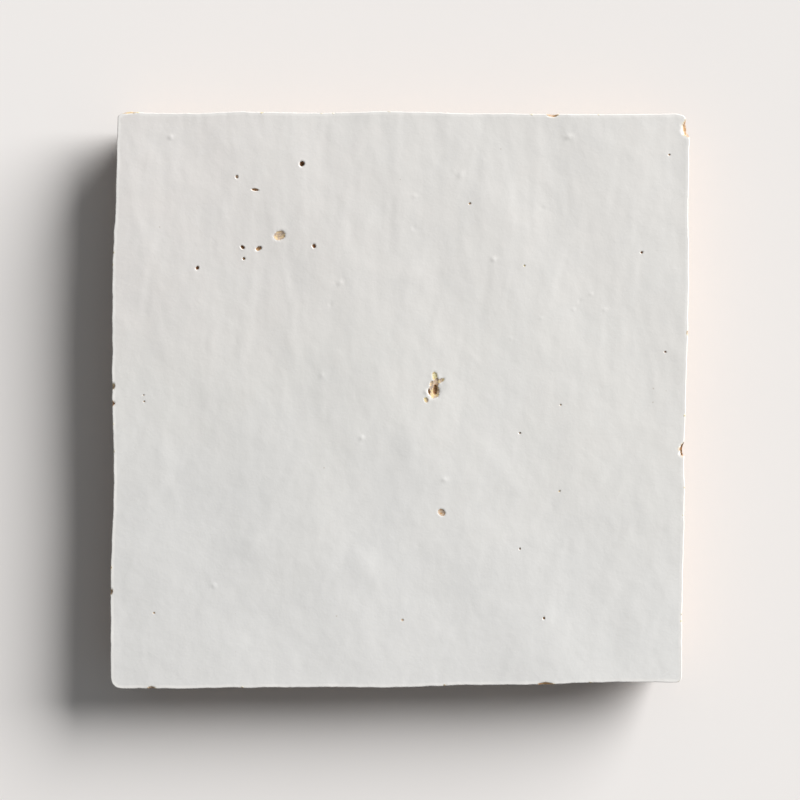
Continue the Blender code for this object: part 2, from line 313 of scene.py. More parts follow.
class GlazeSettings(bpy.types.PropertyGroup):
    """The white coat on the face and over the edge."""

    warm: colour("Warm white", "Where the coat is thin and the clay warms it", (0.736, 0.703, 0.676))
    cool: colour("Cool white", "Where the coat is thick", (0.714, 0.703, 0.684))
    pale: colour("Pale white", "The coat between its warm and its cool parts", (0.736, 0.719, 0.688))
    # A paler white painted along the arris all round: a painted highlight
    rim_highlight: colour("Rim white", "The coat where it thins over the arris", (0.79, 0.77, 0.74))
    thin: colour("Thin white", "The thin coat on the side, which the clay shows through", (0.38, 0.33, 0.27))
    ripple: number("Ripple", "Height of the tool's long ripples under the coat", 0.140 * MM, **LENGTH)
    mottle: number("Mottle", "Height of the short bumps under the coat", 0.068 * MM, **LENGTH)
    line_drop: number("Glaze line", "How far the coat comes down the side", 1.25 * MM, **LENGTH)
    line_wander: number("Line wander", "How far the glaze line strays up and down", 0.42 * MM, **LENGTH)
    lip: number("Lip", "How far the coat stands proud of the clay", 0.10 * MM, **LENGTH)


class ClaySettings(bpy.types.PropertyGroup):
    """The fired clay of the sides and the bed."""

    ochre: colour("Ochre", "The clay where it broke clean", (0.300, 0.208, 0.142))
    # The darker clay of the fire's clouds, also painted into the hammer's hollows as shade
    brown_and_hollow_shade: colour("Brown", "The clay where the fire and the dust darkened it", (0.150, 0.095, 0.062))
    break_height: number("Break", "Depth of the facets that the hammer left", 0.42 * MM, **LENGTH)
    grain_height: number("Grain", "Depth of the coarse grain of the break", 0.18 * MM, **LENGTH)


class StageSettings(bpy.types.PropertyGroup):
    """The floor, the lights and the camera."""

    floor: colour("Floor", "The pale floor", (0.855, 0.823, 0.799))
    key_share: number("Key share", "The key light's share of the light on the floor", 0.82, min=0.0, **SHARE)
    key_azimuth: number("Key direction", "The key light's turn from +X towards +Y", math.radians(35), **ANGLE)
    key_elevation: number("Key height", "The key light's angle above the floor", math.radians(23), **ANGLE)
    key_spread: number("Key spread", "The width of the key light as an angle", math.radians(50), **ANGLE)
    fill: colour("Fill", "The tint of the light from all round", (0.95, 0.98, 1.0))
    lens: number("Lens", "The camera's focal length in millimetres", 190.0, **CAMERA)
    tile_share: number("Tile share", "The tile's share of the picture's width", 0.725, min=0.1, **SHARE)


# The solid's shape, read by rays


def solid_skin():
    """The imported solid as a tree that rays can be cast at."""
    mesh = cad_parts[NODE].data
    corners = [vertex.co for vertex in mesh.vertices]
    return BVHTree.FromPolygons(corners, [tuple(face.vertices) for face in mesh.polygons])


def stations():
    """Points on a rounded square just outside the tile, and the way inwards from each."""
    half = HALF + GUIDE_MARGIN
    straight = half - CORNER_REACH
    run = np.linspace(-straight, straight, SIDE_CELLS, endpoint=False)
    fan = np.radians(np.linspace(-90, 0, CORNER_CELLS, endpoint=False))
    side = np.column_stack((run, np.full(SIDE_CELLS, -half)))
    side_in = np.tile((0.0, 1.0), (SIDE_CELLS, 1))
    ray = np.column_stack((np.cos(fan), np.sin(fan)))
    corner = np.array((straight, -straight)) + CORNER_REACH * ray
    places, inwards = [], []
    for quarter in range(4):
        c, s = round(math.cos(quarter * math.pi / 2)), round(math.sin(quarter * math.pi / 2))
        turn = np.array(((c, s), (-s, c)))
        places.append(np.vstack((side, corner)) @ turn)
        inwards.append(np.vstack((side_in, -ray)) @ turn)
    return np.vstack(places), np.vstack(inwards)


def filled_gaps(values, missing):
    """A closed row of values with the missing ones drawn straight across."""
    index = np.arange(len(values))
    known = ~missing
    return np.interp(index, index[known], values[known], period=len(values))


def depths_at(skin, places, inwards, height):
    """How far in from each station the solid's side stands at one height."""
    depths = []
    for place, inward in zip(places, inwards):
        hit = skin.ray_cast(Vector((*place, height)), Vector((*inward, 0.0)), RAY_REACH)
        depths.append(math.nan if hit[0] is None else hit[3])
    depths = np.array(depths)
    return filled_gaps(depths, np.isnan(depths))


def eased_row(values, rounds, strength):
    """A closed row of values drawn towards their neighbours, by a strength for each."""
    for _ in range(rounds):
        middle = (np.roll(values, 1) + np.roll(values, -1)) / 2
        values = values + (middle - values) * strength
    return values


def wander(count, waves, seed):
    """A closed row of smooth random values from -1 to 1, with about this many waves in it."""
    draws = np.random.default_rng(seed).normal(size=count)
    spectrum = np.fft.rfft(draws)
    spectrum *= np.exp(-((np.arange(len(spectrum)) / waves) ** 2))
    spectrum[0] = 0
    row = np.fft.irfft(spectrum, count)
    return row / np.abs(row).max()


def around(grid):
    """The mean of each height's four neighbours."""
    padded = np.pad(grid, 1, mode="edge")
    return (padded[2:, 1:-1] + padded[:-2, 1:-1] + padded[1:-1, 2:] + padded[1:-1, :-2]) / 4


def mended(grid, bad):
    """A grid of heights with the bad ones filled from their neighbours, then eased."""
    grid = np.where(bad, np.median(grid[~bad]), grid)
    for _ in range(MEND_ROUNDS):
        grid = np.where(bad, around(grid), grid)
    for _ in range(EASE_ROUNDS):
        grid = (grid + around(grid)) / 2
    return grid


def cubic_weights(share):
    """The weights of four neighbours for a point between the middle two."""
    s, s2, s3 = share, share**2, share**3
    return (
        (-s3 + 2 * s2 - s) / 2,
        (3 * s3 - 5 * s2 + 2) / 2,
        (-3 * s3 + 4 * s2 + s) / 2,
        (s3 - s2) / 2,
    )


def face_heights(skin):
    """A function that gives the height of the solid's rippled face, without its pits."""
    reach = min(CAD_HIGH.x, CAD_HIGH.y) - HEIGHT_MARGIN
    count = int(2 * reach / HEIGHT_STEP)
    line = np.linspace(-reach, reach, count + 1)
    step = line[1] - line[0]
    grid = np.zeros((count + 1, count + 1))
    bad = np.zeros_like(grid, bool)
    for row, y in enumerate(line):
        for column, x in enumerate(line):
            hit = skin.ray_cast(Vector((x, y, TOP + 0.01)), Vector((0, 0, -1)))
            grid[row, column] = TOP if hit[0] is None else hit[0].z
    across, up = np.meshgrid(line, line)
    for pit in PITS:
        near = np.hypot(across - pit.x * MM, up - pit.y * MM) < (pit.length * 0.6 + 0.6) * MM
        bad |= near
    bad |= grid < TOP - DEEPEST_RIPPLE
    grid = mended(grid, bad)

    def height(x, y):
        u = np.clip((np.asarray(x) + reach) / step, 0, count - 1e-6)
        v = np.clip((np.asarray(y) + reach) / step, 0, count - 1e-6)
        i, j = u.astype(int), v.astype(int)
        total = np.zeros(np.shape(u))
        for a, across_weight in enumerate(cubic_weights(u - i)):
            for b, up_weight in enumerate(cubic_weights(v - j)):
                row, column = np.clip(j + b - 1, 0, count), np.clip(i + a - 1, 0, count)
                total += across_weight * up_weight * grid[row, column]
        return total

    return height


Edge = namedtuple("Edge", "skin places inwards calm outline outward slant line height")


def away_from(points, spot):
    """How far points are from the middle of a pit or a flake."""
    return np.hypot(*(points - np.array((spot.x, spot.y)) * MM).T)


def level_outline(skin, places, inwards, calm):
    """The outline of the solid's skirt, eased, and with the fine waver of a hand's cut."""
    levels = [TOP - drop for drop in SKIRT_DROPS]
    depths = np.median([depths_at(skin, places, inwards, z) for z in levels], axis=0)
    at = places + inwards * GUIDE_MARGIN
    hit = np.zeros(len(places), bool)
    for flake in FLAKES:
        hit |= away_from(at, flake) < flake.length / 2 * MM + FLAKE_MARGIN
    depths = eased_row(filled_gaps(depths, hit), SKIRT_ROUNDS, calm)
    fine = sum(wander(len(places), waves, seed) * height * MM for waves, seed, height in CUT_WAVERS)
    depths = depths + fine * np.where(calm < SIDE_CALM, CORNER_WAVER, 1.0)
    outline = places + inwards * depths[:, None]
    low, high = np.array(CAD_LOW)[:2] + BOX_MARGIN, np.array(CAD_HIGH)[:2] - BOX_MARGIN
    return np.clip(outline, low, high)


@functools.cache
def read_edge(line_drop, line_wander):
    """What the coat and the clay share: the outline, the glaze line and the face's heights."""
    skin = solid_skin()
    places, inwards = stations()
    in_corner = np.arange(len(places)) % (SIDE_CELLS + CORNER_CELLS) >= SIDE_CELLS
    calm = np.where(in_corner, CORNER_CALM, SIDE_CALM)
    outline = level_outline(skin, places, inwards, calm)
    along = np.roll(outline, -2, axis=0) - np.roll(outline, 2, axis=0)
    along /= np.linalg.norm(along, axis=1)[:, None]
    outward = np.column_stack((along[:, 1], -along[:, 0]))
    slant = 1 / np.clip(-(outward * inwards).sum(axis=1), LEAST_FACING, 1.0)
    stray = sum(wander(len(places), waves, seed) * share for waves, seed, share in LINE_WAVERS)
    line = TOP - line_drop + stray * line_wander
    return Edge(skin, places, inwards, calm, outline, outward, slant, line, face_heights(skin))


def drawn_in(edge, inset):
    """The outline drawn in, along the ways in from the stations so that it never crosses itself."""
    reach = np.minimum(edge.slant * inset, inset + SLANT_REACH)
    return edge.outline + edge.inwards * reach[:, None]


# Meshes from rings and filled outlines


def lattice(step, centre, reach):
    """The whole numbers of the points of a triangular lattice in a box round a place."""
    rise = step * math.sqrt(3) / 2
    rows = range(math.floor((centre[1] - reach) / rise), math.ceil((centre[1] + reach) / rise) + 1)
    for row in rows:
        first = math.floor((centre[0] - reach) / step)
        for column in range(first, math.ceil((centre[0] + reach) / step) + 1):
            yield row, column


def lattice_points(cells, step):
    """The places of a triangular lattice's cells."""
    cells = np.array(sorted(cells), float).reshape(-1, 2)
    x = (cells[:, 1] + 0.5 * (cells[:, 0] % 2)) * step
    return np.column_stack((x, cells[:, 0] * step * math.sqrt(3) / 2))


def pit_distance(points, pits, scale, margin):
    """How far points lie from pits, where 1 is the edge of each pit's widened outline."""
    nearest = np.full(len(points), np.inf)
    for pit in pits:
        nearest = np.minimum(nearest, away_from(points, pit) / ((pit.length / 2 * scale + margin) * MM))
    return nearest


def clear_of(points, ring, distance):
    """The points that stand this far or more from a ring."""
    tree = KDTree(len(ring))
    for index, place in enumerate(ring):
        tree.insert((*place, 0.0), index)
    tree.balance()
    keep = [tree.find((*place, 0.0))[2] >= distance for place in points]
    return points[np.array(keep, bool)]


def face_points(ring):
    """Points all over the face, closer together round its pits."""
    sharp = [pit for pit in PITS if pit.tone >= 0]
    coarse = lattice_points(set(lattice(FACE_STEP, (0, 0), HALF)), FACE_STEP)
    coarse = coarse[pit_distance(coarse, PITS, NEAR_WIDTH, 0.45) > 1]
    near, fine = set(), set()
    for pit in PITS:
        centre = (pit.x * MM, pit.y * MM)
        near |= set(lattice(NEAR_STEP, centre, (pit.length * 0.85 + 0.5) * MM))
        if pit.tone >= 0:
            fine |= set(lattice(PIT_STEP, centre, (pit.length * 0.6 + 0.3) * MM))
    near = lattice_points(near, NEAR_STEP)
    inside = pit_distance(near, PITS, NEAR_WIDTH, 0.3) <= 1
    near = near[inside & (pit_distance(near, sharp, PIT_WIDTH, 0.2) > 1)]
    fine = lattice_points(fine, PIT_STEP)
    fine = fine[pit_distance(fine, sharp, PIT_WIDTH, 0.1) <= 1]
    return np.vstack((clear_of(np.vstack((coarse, near)), ring, RIM_CLEAR), fine))


def back_points(ring, step):
    """Points of a plain lattice inside a ring."""
    points = lattice_points(set(lattice(step, (0, 0), HALF)), step)
    return clear_of(points, ring, min(step, 1.0 * MM) * 0.7)


class Skin:
    """A closed mesh in the making: rings of vertices, bands between them, and filled ends."""

    def __init__(self):
        self.corners = []
        self.faces = []
        self.count = 0

    def ring(self, flat, heights):
        """Adds a ring of vertices and gives its first number."""
        first = self.count
        heights = np.broadcast_to(heights, len(flat))
        self.corners.append(np.column_stack((flat, heights)))
        self.count += len(flat)
        return first

    def band(self, upper, lower, count):
        """Joins two rings whose upper one runs counterclockwise seen from above."""
        i = np.arange(count)
        j = (i + 1) % count
        self.faces += np.column_stack((upper + i, lower + i, lower + j, upper + j)).tolist()

    def fill(self, first, flat, points, height, faces_up):
        """Closes a ring with triangles over its inner points."""
        count = len(flat)
        edges = [(i, (i + 1) % count) for i in range(count)]
        places = [Vector(place) for place in np.vstack((flat, points)).tolist()]
        inside_only = 1
        result = delaunay_2d_cdt(places, edges, [], inside_only, 1e-9)
        places, triangles, sources = np.array([tuple(p) for p in result[0]]), result[2], result[3]
        used = np.unique(np.array(triangles).ravel())
        number = np.full(len(places), -1)
        fresh = []
        for index in used:
            source = sources[index][0]
            if source < count:
                number[index] = first + source
            else:
                number[index] = self.count + len(fresh)
                fresh.append(index)
        inner = places[fresh]
        self.ring(inner, height(inner[:, 0], inner[:, 1]))
        ordered = number[np.array(triangles)]
        self.faces += (ordered if faces_up else ordered[:, ::-1]).tolist()

    def mesh(self, name):
        """The finished mesh, smooth all over."""
        data = bpy.data.meshes.new(name)
        data.from_pydata(np.vstack(self.corners).tolist(), [], self.faces)
        data.shade_smooth()
        data.validate()
        return data


def add_values(mesh, name, values):
    """Stores one number on each vertex."""
    layer = mesh.attributes.new(name, "FLOAT", "POINT")
    layer.data.foreach_set("value", np.asarray(values, np.float32))


def ringed(name, rings, height, points, step, low_height, fields):
    """A closed mesh of rings, the bands between them and a filling for both ends.

    A ring holds its places, its heights and a value for each field. A field is its name, then the
    value that the upper filling's points take and the one that the lower filling's take.
    """
    skin = Skin()
    count = len(rings[0][0])
    firsts = [skin.ring(flat, heights) for flat, heights, *_ in rings]
    for upper, lower in zip(firsts, firsts[1:]):
        skin.band(upper, lower, count)
    skin.fill(firsts[0], rings[0][0], points, height, True)
    laid, upper_end = len(rings) * count, skin.count
    last = rings[-1][0]
    skin.fill(firsts[-1], last, back_points(last, step), level(low_height), False)
    mesh = skin.mesh(name)
    for column, (field, upper, lower) in enumerate(fields, 2):
        values = np.full(skin.count, lower)
        values[:laid] = np.repeat([ring[column] for ring in rings], count)
        values[laid:upper_end] = upper
        add_values(mesh, field, values)
    return mesh


def level(height):
    """A function that gives one height all over."""
    return lambda x, y: np.full(len(x), height)


def coat_mesh(edge):
    """The glaze as laid: the face, the roll over the arris, the skirt and the hidden back.

    Its points hold how much of the relief they take, how much of the painted highlight along the rim they
    take and how thin the coat is.
    """
    top = edge.height(*drawn_in(edge, ROLL_RADIUS).T)
    rings = []
    for step in range(RIM_RINGS, 0, -1):
        flat = drawn_in(edge, ROLL_RADIUS + RIM_WIDTH * step / RIM_RINGS)
        rings.append((flat, edge.height(*flat.T), 1.0, 1.0 - (step / RIM_RINGS) ** 3, 0.0))
    for step in range(ROLL_RINGS + 1):
        part = step / ROLL_RINGS
        angle = part * math.pi / 2
        flat = drawn_in(edge, ROLL_RADIUS * (1 - math.sin(angle)))
        height = top - ROLL_RADIUS * (1 - math.cos(angle))
        rings.append((flat, height, 1.0 - 0.5 * step / ROLL_RINGS, 1.0, ARRIS_THIN * part**3))
    for step in range(1, SKIRT_RINGS + 1):
        part = step / SKIRT_RINGS
        flat = drawn_in(edge, SKIRT_TUCK * part**4)
        height = (top - ROLL_RADIUS) * (1 - part) + edge.line * part
        thin = ARRIS_THIN + (1 - ARRIS_THIN) * part
        rings.append((flat, height, 0.5 * (1 - part), 1.0 - part, thin))
    rings.append((drawn_in(edge, LIP_DEPTH), edge.line, 0.0, 0.0, 1.0))
    rings.append((drawn_in(edge, CORE_INSET), TOP - CORE_DEPTH, 0.0, 0.0, 1.0))
    face = face_points(rings[0][0])
    fields = (("share", 1.0, 0.0), ("rim_highlight", 0.0, 0.0), ("thin", 0.0, 0.0))
    return ringed("coat_laid", rings, edge.height, face, BACK_STEP, TOP - CORE_DEPTH, fields)


def clay_mesh(edge, lip):
    """The clay under the coat: its sides follow the solid down to the bed.

    Its points hold how broken they are, and how much of the bed's roughness they take.
    """
    levels = np.linspace(LOWEST_LEVEL, HIGHEST_LEVEL, SIDE_LEVELS)
    table = np.array([depths_at(edge.skin, edge.places, edge.inwards, z) for z in levels])
    table = np.array([eased_row(row, SIDE_ROUNDS, edge.calm) for row in table]) + SIDE_INSET
    outline_depths = ((edge.outline - edge.places) * edge.inwards).sum(axis=1)
    upper = edge.line + CLAY_RISE
    core_top = TOP - CORE_DEPTH - CORE_GAP
    rings = [
        (drawn_in(edge, CORE_INSET + CORE_GAP), core_top, 0.0, 0.0),
        (drawn_in(edge, LIP_DEPTH + CLAY_GAP), upper, 0.0, 0.0),
    ]
    for step in range(SIDE_RINGS + 1):
        heights = upper * (1 - step / SIDE_RINGS)
        depths = np.array([np.interp(z, levels, row) for z, row in zip(heights, table.T)])
        below = np.clip((upper - heights) / LIP_FADE, 0, 1)
        under_lip = np.maximum(depths, outline_depths + lip)
        depths = under_lip * (1 - below) + np.maximum(depths, outline_depths) * below
        flat = edge.places + edge.inwards * depths[:, None]
        broken = 1.0 if 0 < step < SIDE_RINGS else RIM_BREAK
        rings.append((flat, heights, broken, BED_EDGE if step == SIDE_RINGS else 0.0))
    core = back_points(rings[0][0], BACK_STEP)
    fields = (("broken", 0.0, 0.0), ("bed", 0.0, 1.0))
    return ringed("clay_laid", rings, level(core_top), core, BED_STEP, 0.0, fields)


# Marks: pits, swells, flakes and chips as points with their sizes

Mark = namedtuple("Mark", "place turn reach push soft tone veil")


def face_marks(height):
    """The pits and blisters of the face, then its rises and troughs."""
    spots = [(pit, 5 * MM, -pit.depth, float(pit.tone < 0), max(pit.tone, 0.0)) for pit in PITS]
    spots += [(swell, 50 * MM, swell.height, 1.0, 0.0) for swell in SWELLS]
    marks = []
    for spot, tall, lift, soft, tone in spots:
        place = (spot.x * MM, spot.y * MM)
        reach = (spot.length / 2 * MM, spot.width / 2 * MM, tall)
        push = (0, 0, lift * MM)
        turn = math.radians(spot.turn)
        marks.append(Mark((*place, float(height(*place))), turn, reach, push, soft, tone, PIT_VEIL))
    return marks


def edge_mark(edge, station, length, bite, drop, tone):
    """A flake or chip that a blow took off the arris at one station."""
    place, outward = edge.outline[station], edge.outward[station]
    top = float(edge.height(*(place - outward * ROLL_RADIUS)))
    centre = (*(place - outward * EDGE_SINK), top - EDGE_SINK)
    turn = math.atan2(outward[0], -outward[1])
    reach = (length / 2, bite * 1.15, drop)
    push = (-outward[0] * bite * 0.75, -outward[1] * bite * 0.75, -drop * 0.5)
    return Mark(centre, turn, reach, push, 0.0, tone, EDGE_VEIL)


def edge_marks(edge):
    """The stated flakes, then fine chips drawn at random."""
    marks = []
    for flake in FLAKES:
        station = int(away_from(edge.outline, flake).argmin())
        sizes = (flake.length * MM, flake.bite * MM, flake.drop * MM)
        marks.append(edge_mark(edge, station, *sizes, flake.tone))
    draw = np.random.default_rng(CHIP_SEED)
    for _ in range(CHIP_COUNT):
        station = int(draw.integers(len(edge.outline)))
        length, bite = draw.uniform(*CHIP_LENGTHS) * MM, draw.uniform(*CHIP_BITES) * MM
        tone = draw.uniform(*CHIP_TONES)
        marks.append(edge_mark(edge, station, length, bite, bite * 1.3, tone))
    return marks


def linked(name, data):
    """A new object in the scene."""
    piece = bpy.data.objects.new(name, data)
    bpy.context.scene.collection.objects.link(piece)
    return piece


def mark_cloud(name, marks):
    """Marks as a cloud of points that a geometry tree can read."""
    mesh = bpy.data.meshes.new(name)
    mesh.from_pydata([mark.place for mark in marks], [], [])
    for field in ("turn", "soft", "tone", "veil"):
        add_values(mesh, field, [getattr(mark, field) for mark in marks])
    for field in ("reach", "push"):
        layer = mesh.attributes.new(field, VECTOR, "POINT")
        rows = np.array([getattr(mark, field) for mark in marks], np.float32)
        layer.data.foreach_set("vector", rows.ravel())
    return linked(name, mesh)


# Node trees: a term is an output of a node, and sums on terms add the nodes for them


def picked(sockets, key):
    """A live socket by its number, name or identifier."""
    live = [socket for socket in sockets if socket.enabled]
    return live[key] if isinstance(key, int) else next(s for s in live if key in (s.name, s.identifier))


def kind_of(value):
    """The type of the socket that a term, a number or a vector fits."""
    if isinstance(value, Term):
        return value.socket.type
    return "VALUE" if isinstance(value, (int, float)) else "VECTOR"


def stored_as(value):
    """The type of the attribute that a term, a number or a vector fits."""
    return "FLOAT" if kind_of(value) == "VALUE" else VECTOR


def summed(operation, swapped=False):
    """A method that adds the node for one kind of sum, on numbers or on vectors."""

    def method(self, *others):
        values = (self, *others)[:: -1 if swapped else 1]
        if all(kind_of(value) == "VALUE" for value in values):
            return self.tree.out("ShaderNodeMath", dict(enumerate(values)), operation=operation)
        if operation == "MULTIPLY" and kind_of(values[1]) == "VALUE":
            inputs = {0: values[0], "Scale": values[1]}
            return self.tree.out("ShaderNodeVectorMath", inputs, operation="SCALE")
        return self.tree.out("ShaderNodeVectorMath", dict(enumerate(values)), operation=operation)

    return method


class Term:
    """An output of a node, with which sums are written as plain arithmetic."""

    __add__ = summed("ADD")
    __sub__ = summed("SUBTRACT")
    __rsub__ = summed("SUBTRACT", swapped=True)
    __mul__ = summed("MULTIPLY")
    __truediv__ = summed("DIVIDE")
    __rtruediv__ = summed("DIVIDE", swapped=True)
    __lt__ = summed("LESS_THAN")
    __gt__ = summed("GREATER_THAN")
    least = summed("MINIMUM")
    most = summed("MAXIMUM")
    power = summed("EXPONENT")
    length = summed("LENGTH")
    unit = summed("NORMALIZE")

    def __init__(self, tree, socket):
        self.tree, self.socket = tree, socket

    def beside(self, key):
        """Another output of the same node."""
        return Term(self.tree, picked(self.socket.node.outputs, key))

    def split(self):
        """The three numbers of a vector or a colour."""
        kind = "ShaderNodeSeparateXYZ" if self.socket.type == "VECTOR" else "ShaderNodeSeparateColor"
        first = self.tree.out(kind, {0: self})
        return [first.beside(part) for part in range(3)]

    def ranged(self, low, high, to_low=0.0, to_high=1.0):
        """A number eased from one range to another."""
        inputs = {"Value": self, "From Min": low, "From Max": high, "To Min": to_low, "To Max": to_high}
        return self.tree.out("ShaderNodeMapRange", inputs, interpolation_type="SMOOTHSTEP")

    def noise(self, size, detail=2.0, roughness=0.5, distortion=0.0, result="Fac"):
        """Noise over a place, with bumps of about this size in metres."""
        inputs = {"Vector": self, "Scale": 1 / size, "Detail": detail, "Roughness": roughness}
        inputs["Distortion"] = distortion
        return self.tree.out("ShaderNodeTexNoise", inputs, result)

    def strays(self, size, detail=2.0):
        """A vector that strays either way from nothing, by noise over a place."""
        return self.noise(size, detail, result="Color") - (0.5, 0.5, 0.5)

    def cells(self, size, inputs=None, **settings):
        """How far a place is from the middle of the nearest of many cells of about this size."""
        inputs = {"Vector": self, "Scale": 1 / size, **(inputs or {})}
        return self.tree.out("ShaderNodeTexVoronoi", inputs, "Distance", **settings)

    def spun(self, angle):
        """A vector turned about Z."""
        inputs = {"Vector": self, "Angle": angle}
        return self.tree.out("ShaderNodeVectorRotate", inputs, rotation_type="Z_AXIS")

    def stretched(self, degrees, stretch):
        """A place turned about Z, then stretched along Y."""
        return self.spun(math.radians(degrees)) * (1.0, 1 / stretch, 1.0)

    def bump(self):
        """The normal of a height in metres."""
        return self.tree.out("ShaderNodeBump", {"Height": self, "Strength": 1.0, "Distance": 1.0})


class Tree:
    """A node tree in the making."""

    def __init__(self, tree):
        self.tree = tree

    def feed(self, socket, value):
        """Links a term to an input, or writes anything else there."""
        if isinstance(value, Term):
            self.tree.links.new(value.socket, socket)
        else:
            socket.default_value = (*value[:3], 1.0) if socket.type == "RGBA" else value

    def node(self, kind, inputs=None, **settings):
        """A new node with its settings and inputs."""
        node = self.tree.nodes.new(kind)
        for name, value in settings.items():
            setattr(node, name, value)
        for key, value in (inputs or {}).items():
            self.feed(picked(node.inputs, key), value)
        return node

    def out(self, kind, inputs=None, key=0, **settings):
        """One output of a new node."""
        return Term(self, picked(self.node(kind, inputs, **settings).outputs, key))

    def joined(self, x=0.0, y=0.0, z=0.0):
        """A vector of three numbers."""
        return self.out("ShaderNodeCombineXYZ", {0: x, 1: y, 2: z})

    def mixed(self, share, first, second):
        """One number, vector or colour mixed into another."""
        kind, word = MIXES[first.socket.type if isinstance(first, Term) else "RGBA"]
        inputs = {"Factor_Float": share, "A_" + word: first, "B_" + word: second}
        return self.out("ShaderNodeMix", inputs, "Result_" + word, data_type=kind, clamp_factor=True)

    def stored(self, geometry, name, value):
        """A geometry with one more named attribute on its points."""
        inputs = {"Geometry": geometry, "Name": name, "Value": value}
        return self.out("GeometryNodeStoreNamedAttribute", inputs, data_type=stored_as(value), domain="POINT")

    def named(self, name, kind="FLOAT"):
        """An attribute of the geometry."""
        return self.out("GeometryNodeInputNamedAttribute", {"Name": name}, data_type=kind)

    def attribute(self, name):
        """A number stored on the piece."""
        return self.out("ShaderNodeAttribute", None, "Fac", attribute_name=name)

    def placed(self, group, **inputs):
        """The first output of a group that is placed here with its own values."""
        kind = self.tree.bl_idname.replace("Tree", "Group")
        return self.out(kind, inputs, node_tree=group)

    def ends(self, *values):
        """Ends a group with what it puts out, and gives the group."""
        self.node("NodeGroupOutput", dict(enumerate(values)))
        return self.tree

    def shaded(self, inputs):
        """Ends a material with its Principled shader."""
        self.node("ShaderNodeOutputMaterial", {"Surface": self.out("ShaderNodeBsdfPrincipled", inputs)})

    def finished(self, surface, material):
        """Ends a geometry group with real geometry in its material."""
        real = self.out("GeometryNodeRealizeInstances", {"Geometry": surface})
        return self.ends(self.out("GeometryNodeSetMaterial", {"Geometry": real, "Material": material}))


MIXES = {"VALUE": ("FLOAT", "Float"), "VECTOR": ("VECTOR", "Vector"), "RGBA": ("RGBA", "Color")}


def new_group(name, kind, inputs, outputs):
    """An empty group with named sockets, as its tree and a term for each input.

    An input is given by its type, or by a number, which is then its default.
    """
    group = bpy.data.node_groups.new(name, kind)
    for label, value in inputs.items():
        word = value if isinstance(value, str) else "Float"
        socket = group.interface.new_socket(label, in_out="INPUT", socket_type="NodeSocket" + word)
        if word == "Float":
            socket.default_value = value
    for label, word in outputs.items():
        group.interface.new_socket(label, in_out="OUTPUT", socket_type="NodeSocket" + word)
    tree = Tree(group)
    given = tree.node("NodeGroupInput")
    return tree, *(Term(tree, given.outputs[label]) for label in inputs)


# Geometry trees


@functools.cache
def struck_surface():
    """A group that works out what a cloud of marks does to a surface.

    It leaves the vectors scoop, how far a cut moves each point, and swell, how far a soft mark does,
    and the numbers bare, where the coat is gone, and tone, the colour that shows there.
    """
    inputs = {"Surface": "Geometry", "Marks": "Object", "Wobble": WOBBLE}
    surface_out = {"Surface": "Geometry"}
    tree, surface, marks, wobble = new_group("struck_surface", "GeometryNodeTree", inputs, surface_out)
    position = tree.out("GeometryNodeInputPosition")
    cloud = tree.out("GeometryNodeObjectInfo", {"Object": marks}, "Geometry")
    size = {"Geometry": cloud}
    count = tree.out("GeometryNodeAttributeDomainSize", size, "Point Count", component="MESH")
    stray = position.strays(0.9 * MM, 1.0) + position.strays(0.35 * MM, 1.0) * 0.5
    surface = tree.stored(surface, "stray", stray * wobble)
    nowhere = (0.0, 0.0, 0.0)
    for name, value in (("scoop", nowhere), ("swell", nowhere), ("bare", 0.0), ("tone", 0.0)):
        surface = tree.stored(surface, name, value)

    first, last = tree.node("GeometryNodeRepeatInput"), tree.node("GeometryNodeRepeatOutput")
    first.pair_with_output(last)
    tree.feed(first.inputs["Iterations"], count)
    tree.feed(first.inputs["Geometry"], surface)
    index = Term(tree, first.outputs["Iteration"])

    def of_mark(value):
        """A value of the mark whose turn it is."""
        inputs = {"Geometry": cloud, "Value": value, "Index": index}
        return tree.out("GeometryNodeSampleIndex", inputs, data_type=stored_as(value), domain="POINT")

    reach, push = (of_mark(tree.named(name, VECTOR)) for name in ("reach", "push"))
    turn, soft, tone, veil = (of_mark(tree.named(name)) for name in ("turn", "soft", "tone", "veil"))
    hard = 1.0 - soft
    local = (position - of_mark(position)).spun(turn * -1.0) / reach
    distance = (local + tree.named("stray", VECTOR) * hard).length()

    curve = tree.node("ShaderNodeFloatCurve", {"Value": (distance / WIDEST_CUT).least(1.0)})
    points = curve.mapping.curves[0].points
    points[0].location, points[1].location = (0.0, 1.0), (1.0, 0.0)
    for where, amount in CUT_PROFILE:
        points.new(where / WIDEST_CUT, amount)
    curve.mapping.update()
    cut = Term(tree, curve.outputs[0]) * hard
    bell = (distance * distance * -SOFT_FALL).power()
    lip = (distance - CUT_LIP) * LIP_SHARPNESS
    lip = (lip * lip * -1.0).power() * hard * (veil * -LIP_SHARE)
    pushed = push * cut

    old = tree.named("scoop", VECTOR)
    deeper = pushed.length() > old.length()
    toned = deeper * cut.ranged(*TONED_CUT)
    left = {
        "tone": tree.mixed(toned, tree.named("tone"), tone),
        "scoop": tree.mixed(deeper, old, pushed),
        "swell": tree.named("swell", VECTOR) + push * (bell * soft + lip),
        "bare": tree.named("bare").most(cut.ranged(veil, veil * BARED_CUT)),
    }
    surface = Term(tree, first.outputs["Geometry"])
    for name, value in left.items():
        surface = tree.stored(surface, name, value)
    tree.feed(last.inputs["Geometry"], surface)
    return tree.ends(Term(tree, last.outputs["Geometry"]))


